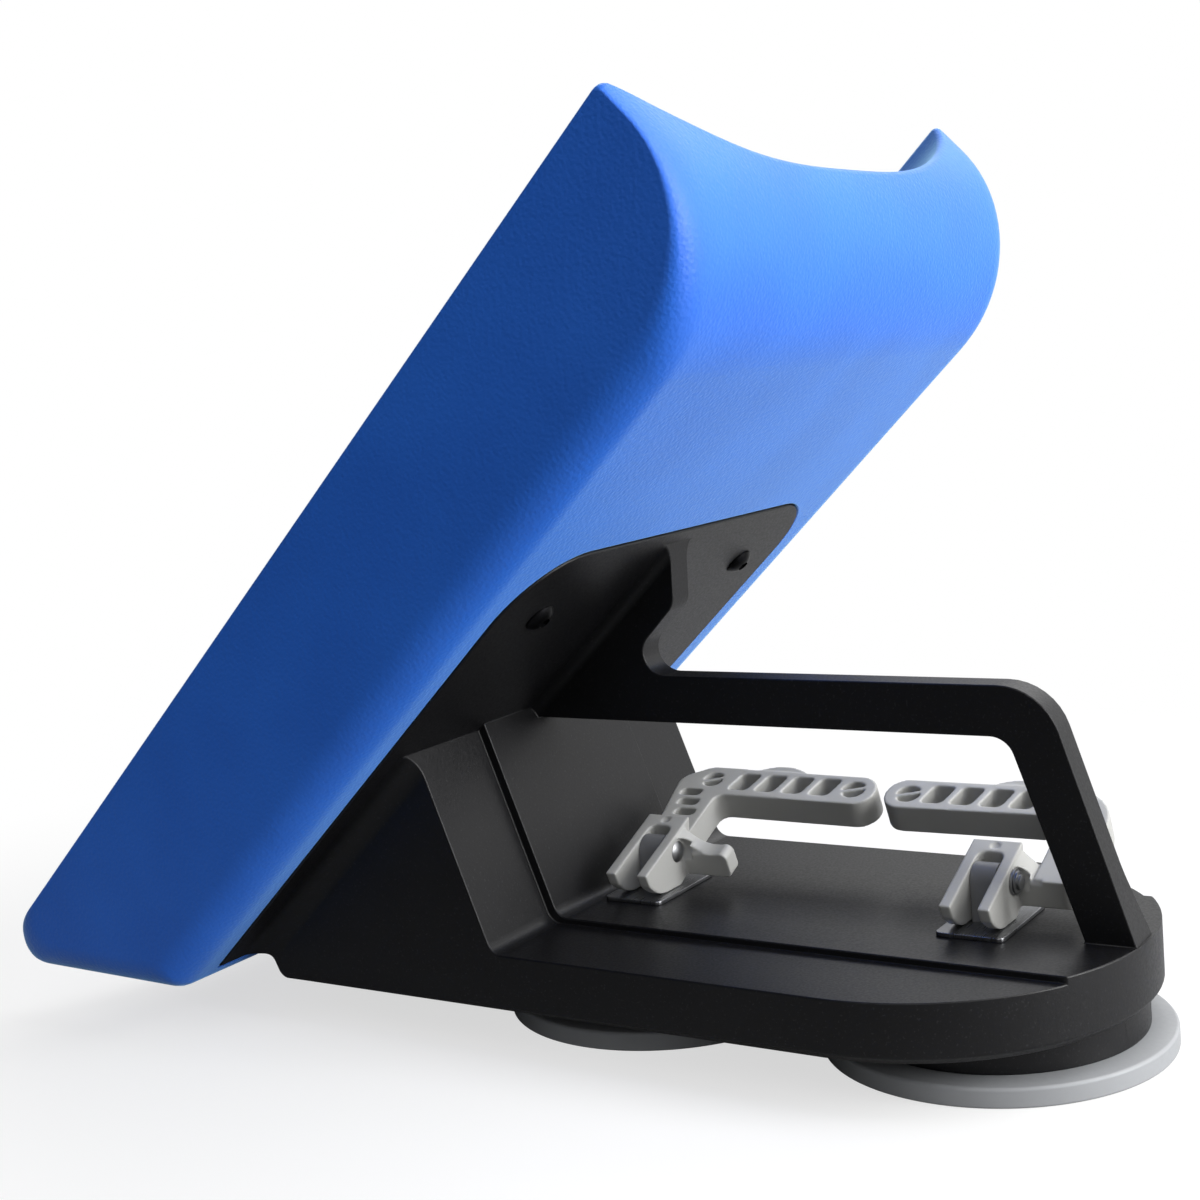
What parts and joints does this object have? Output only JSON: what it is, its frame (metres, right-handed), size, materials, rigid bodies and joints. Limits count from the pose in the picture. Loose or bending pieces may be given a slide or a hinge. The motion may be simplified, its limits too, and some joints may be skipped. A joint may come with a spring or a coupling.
{
  "type": "wakesurf wave shaper",
  "caption": "Wakesurf wave shaper: a scooped foam blade leaning on a moulded bracket with a carrying handle, held to a hull by lever-operated suction cups.",
  "frame": {"origin": "middle of the free-end suction pad's flat sealing face", "axes": "+X runs from the blade-side cup towards the free end, +Y towards the levers' handles, and +Z away from the hull that the pads are pressed on"},
  "size_m": [0.3976, 0.232, 0.305],
  "materials": {
    "blade_skin": "fine moulded grain",
    "bracket_plastic": "satin moulded",
    "screw_steel": "black coating",
    "insert_brass": "turned",
    "pad_rubber": "smooth moulded",
    "disc_steel": "rolled",
    "stem_plastic": "moulded",
    "spring_steel": "drawn wire",
    "plate_steel": "rolled",
    "lever_plastic": "moulded",
    "pin_steel": "turned"
  },
  "bodies": {
    "bracket_body": {"blade": "blade_skin", "blade_inserts": "insert_brass", "bracket": "bracket_plastic", "flange_screws": "screw_steel", "wear_plate_left": "plate_steel", "wear_plate_right": "plate_steel", "pad_left": "pad_rubber", "pad_right": "pad_rubber", "spring_left": "spring_steel", "spring_right": "spring_steel"},
    "stem_left_body": {"stem_left": "stem_plastic", "disc_left": "disc_steel"},
    "lever_left_body": {"lever_left": "lever_plastic", "pin_left": "pin_steel", "pin_clips_left": "pin_steel"},
    "stem_right_body": {"stem_right": "stem_plastic", "disc_right": "disc_steel"},
    "lever_right_body": {"lever_right": "lever_plastic", "pin_right": "pin_steel", "pin_clips_right": "pin_steel"}
  },
  "joints": [
    {"name": "stem_left_lift", "type": "slide", "parent": "bracket_body", "child": "stem_left_body", "axis": [0, 0, 1], "range_m": [0, 0.009], "deforming": ["spring_left"]},
    {"name": "lever_left_turn", "type": "hinge", "parent": "stem_left_body", "child": "lever_left_body", "pos_m": [-0.126, 0, 0.05342], "axis": [1, 0, 0], "range_deg": [0, 60]},
    {"name": "stem_right_lift", "type": "slide", "parent": "bracket_body", "child": "stem_right_body", "axis": [0, 0, 1], "range_m": [0, 0.009], "deforming": ["spring_right"]},
    {"name": "lever_right_turn", "type": "hinge", "parent": "stem_right_body", "child": "lever_right_body", "pos_m": [0, 0, 0.05342], "axis": [1, 0, 0], "range_deg": [0, 60]}
  ],
  "couplings": [
    {"joint": "lever_left_turn", "follows": "stem_left_lift", "rad_per_m": 116.3},
    {"joint": "lever_right_turn", "follows": "stem_right_lift", "rad_per_m": 116.3}
  ]
}
